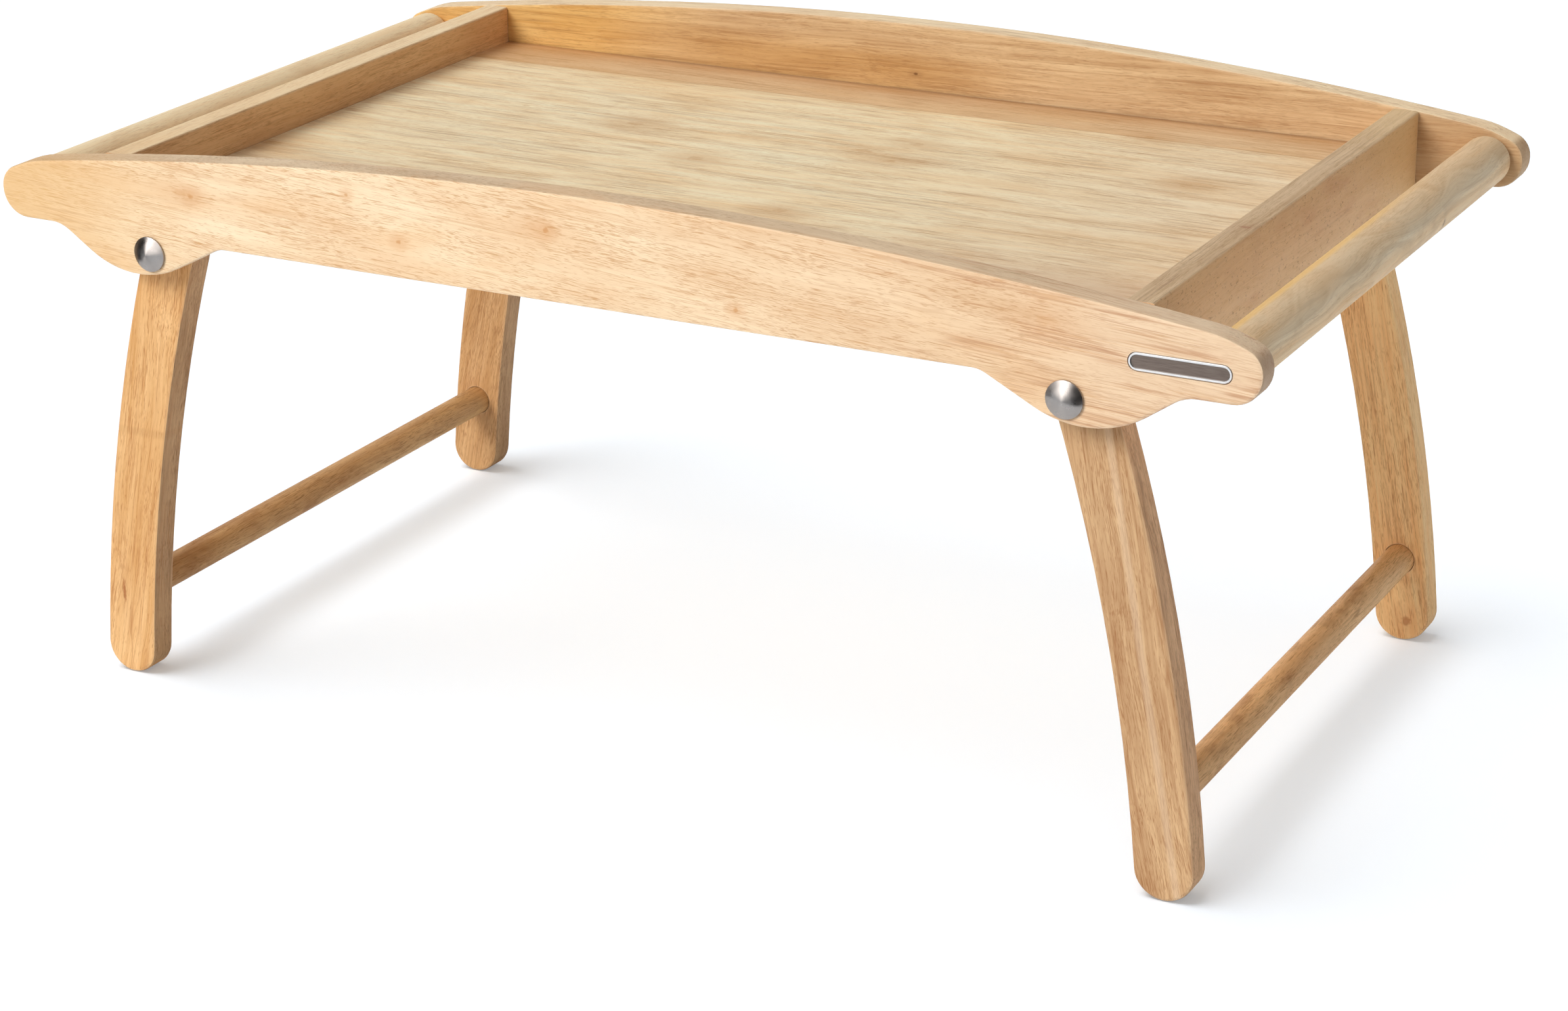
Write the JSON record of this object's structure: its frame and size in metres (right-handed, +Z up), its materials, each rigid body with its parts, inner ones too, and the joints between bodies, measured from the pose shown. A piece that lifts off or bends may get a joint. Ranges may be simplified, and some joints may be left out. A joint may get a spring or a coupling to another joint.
{
  "type": "folding bed tray",
  "caption": "Wooden bed tray with arched side boards, round handles, a sunk floor and curved legs that fold inward in pairs.",
  "frame": {"origin": "on the ground, under the middle of the tray, with the legs open", "axes": "+X along the tray to the right handle, +Y from the front board (the one with the plate) to the back board, +Z up"},
  "size_m": [0.6, 0.3488, 0.2687],
  "materials": {
    "front_side_board_wood": "satin oiled rubberwood, pale honey with short darker pore dashes",
    "back_side_board_wood": "satin oiled rubberwood, pale honey with short darker pore dashes",
    "left_end_rail_wood": "satin oiled rubberwood",
    "left_handle_dowel_wood": "satin oiled rubberwood, swirling grain",
    "left_leg_stretcher_wood": "satin oiled rubberwood, darker",
    "front_left_leg_wood": "satin oiled rubberwood",
    "back_left_leg_wood": "satin oiled rubberwood",
    "right_end_rail_wood": "satin oiled rubberwood",
    "right_handle_dowel_wood": "satin oiled rubberwood, swirling grain",
    "right_leg_stretcher_wood": "satin oiled rubberwood, darker",
    "front_right_leg_wood": "satin oiled rubberwood",
    "back_right_leg_wood": "satin oiled rubberwood",
    "tray_floor_panel_wood": "satin oiled rubberwood staves, edge-glued along the tray",
    "pin_wood": "plain dowel wood",
    "bolt_steel": "bright turned steel",
    "washer_steel": "plain steel",
    "nut_steel": "bright steel",
    "plate_steel": "brushed field with a bright rim"
  },
  "bodies": {
    "tray": {"front_side_board": "front_side_board_wood", "back_side_board": "back_side_board_wood", "left_end_rail": "left_end_rail_wood", "left_handle_dowel": "left_handle_dowel_wood", "right_end_rail": "right_end_rail_wood", "right_handle_dowel": "right_handle_dowel_wood", "tray_floor_panel": "tray_floor_panel_wood", "front_left_upper_rail_pin": "pin_wood", "front_left_lower_rail_pin": "pin_wood", "front_left_pivot_bolt": "bolt_steel", "front_left_spacer_washer": "washer_steel", "front_left_inner_washer": "washer_steel", "front_left_cap_nut": "nut_steel", "front_right_upper_rail_pin": "pin_wood", "front_right_lower_rail_pin": "pin_wood", "front_right_pivot_bolt": "bolt_steel", "front_right_spacer_washer": "washer_steel", "front_right_inner_washer": "washer_steel", "front_right_cap_nut": "nut_steel", "back_left_upper_rail_pin": "pin_wood", "back_left_lower_rail_pin": "pin_wood", "back_left_pivot_bolt": "bolt_steel", "back_left_spacer_washer": "washer_steel", "back_left_inner_washer": "washer_steel", "back_left_cap_nut": "nut_steel", "back_right_upper_rail_pin": "pin_wood", "back_right_lower_rail_pin": "pin_wood", "back_right_pivot_bolt": "bolt_steel", "back_right_spacer_washer": "washer_steel", "back_right_inner_washer": "washer_steel", "back_right_cap_nut": "nut_steel", "inlay_plate": "plate_steel"},
    "left_legs": {"front_left_leg": "front_left_leg_wood", "back_left_leg": "back_left_leg_wood", "left_leg_stretcher": "left_leg_stretcher_wood"},
    "right_legs": {"front_right_leg": "front_right_leg_wood", "back_right_leg": "back_right_leg_wood", "right_leg_stretcher": "right_leg_stretcher_wood"}
  },
  "joints": [
    {"name": "left_legs_fold", "type": "hinge", "parent": "tray", "child": "left_legs", "pos_m": [-0.2195, 0, 0.2148], "axis": [0, -1, 0], "range_deg": [0, 101]},
    {"name": "right_legs_fold", "type": "hinge", "parent": "tray", "child": "right_legs", "pos_m": [0.2195, 0, 0.2148], "axis": [0, 1, 0], "range_deg": [0, 101]}
  ]
}
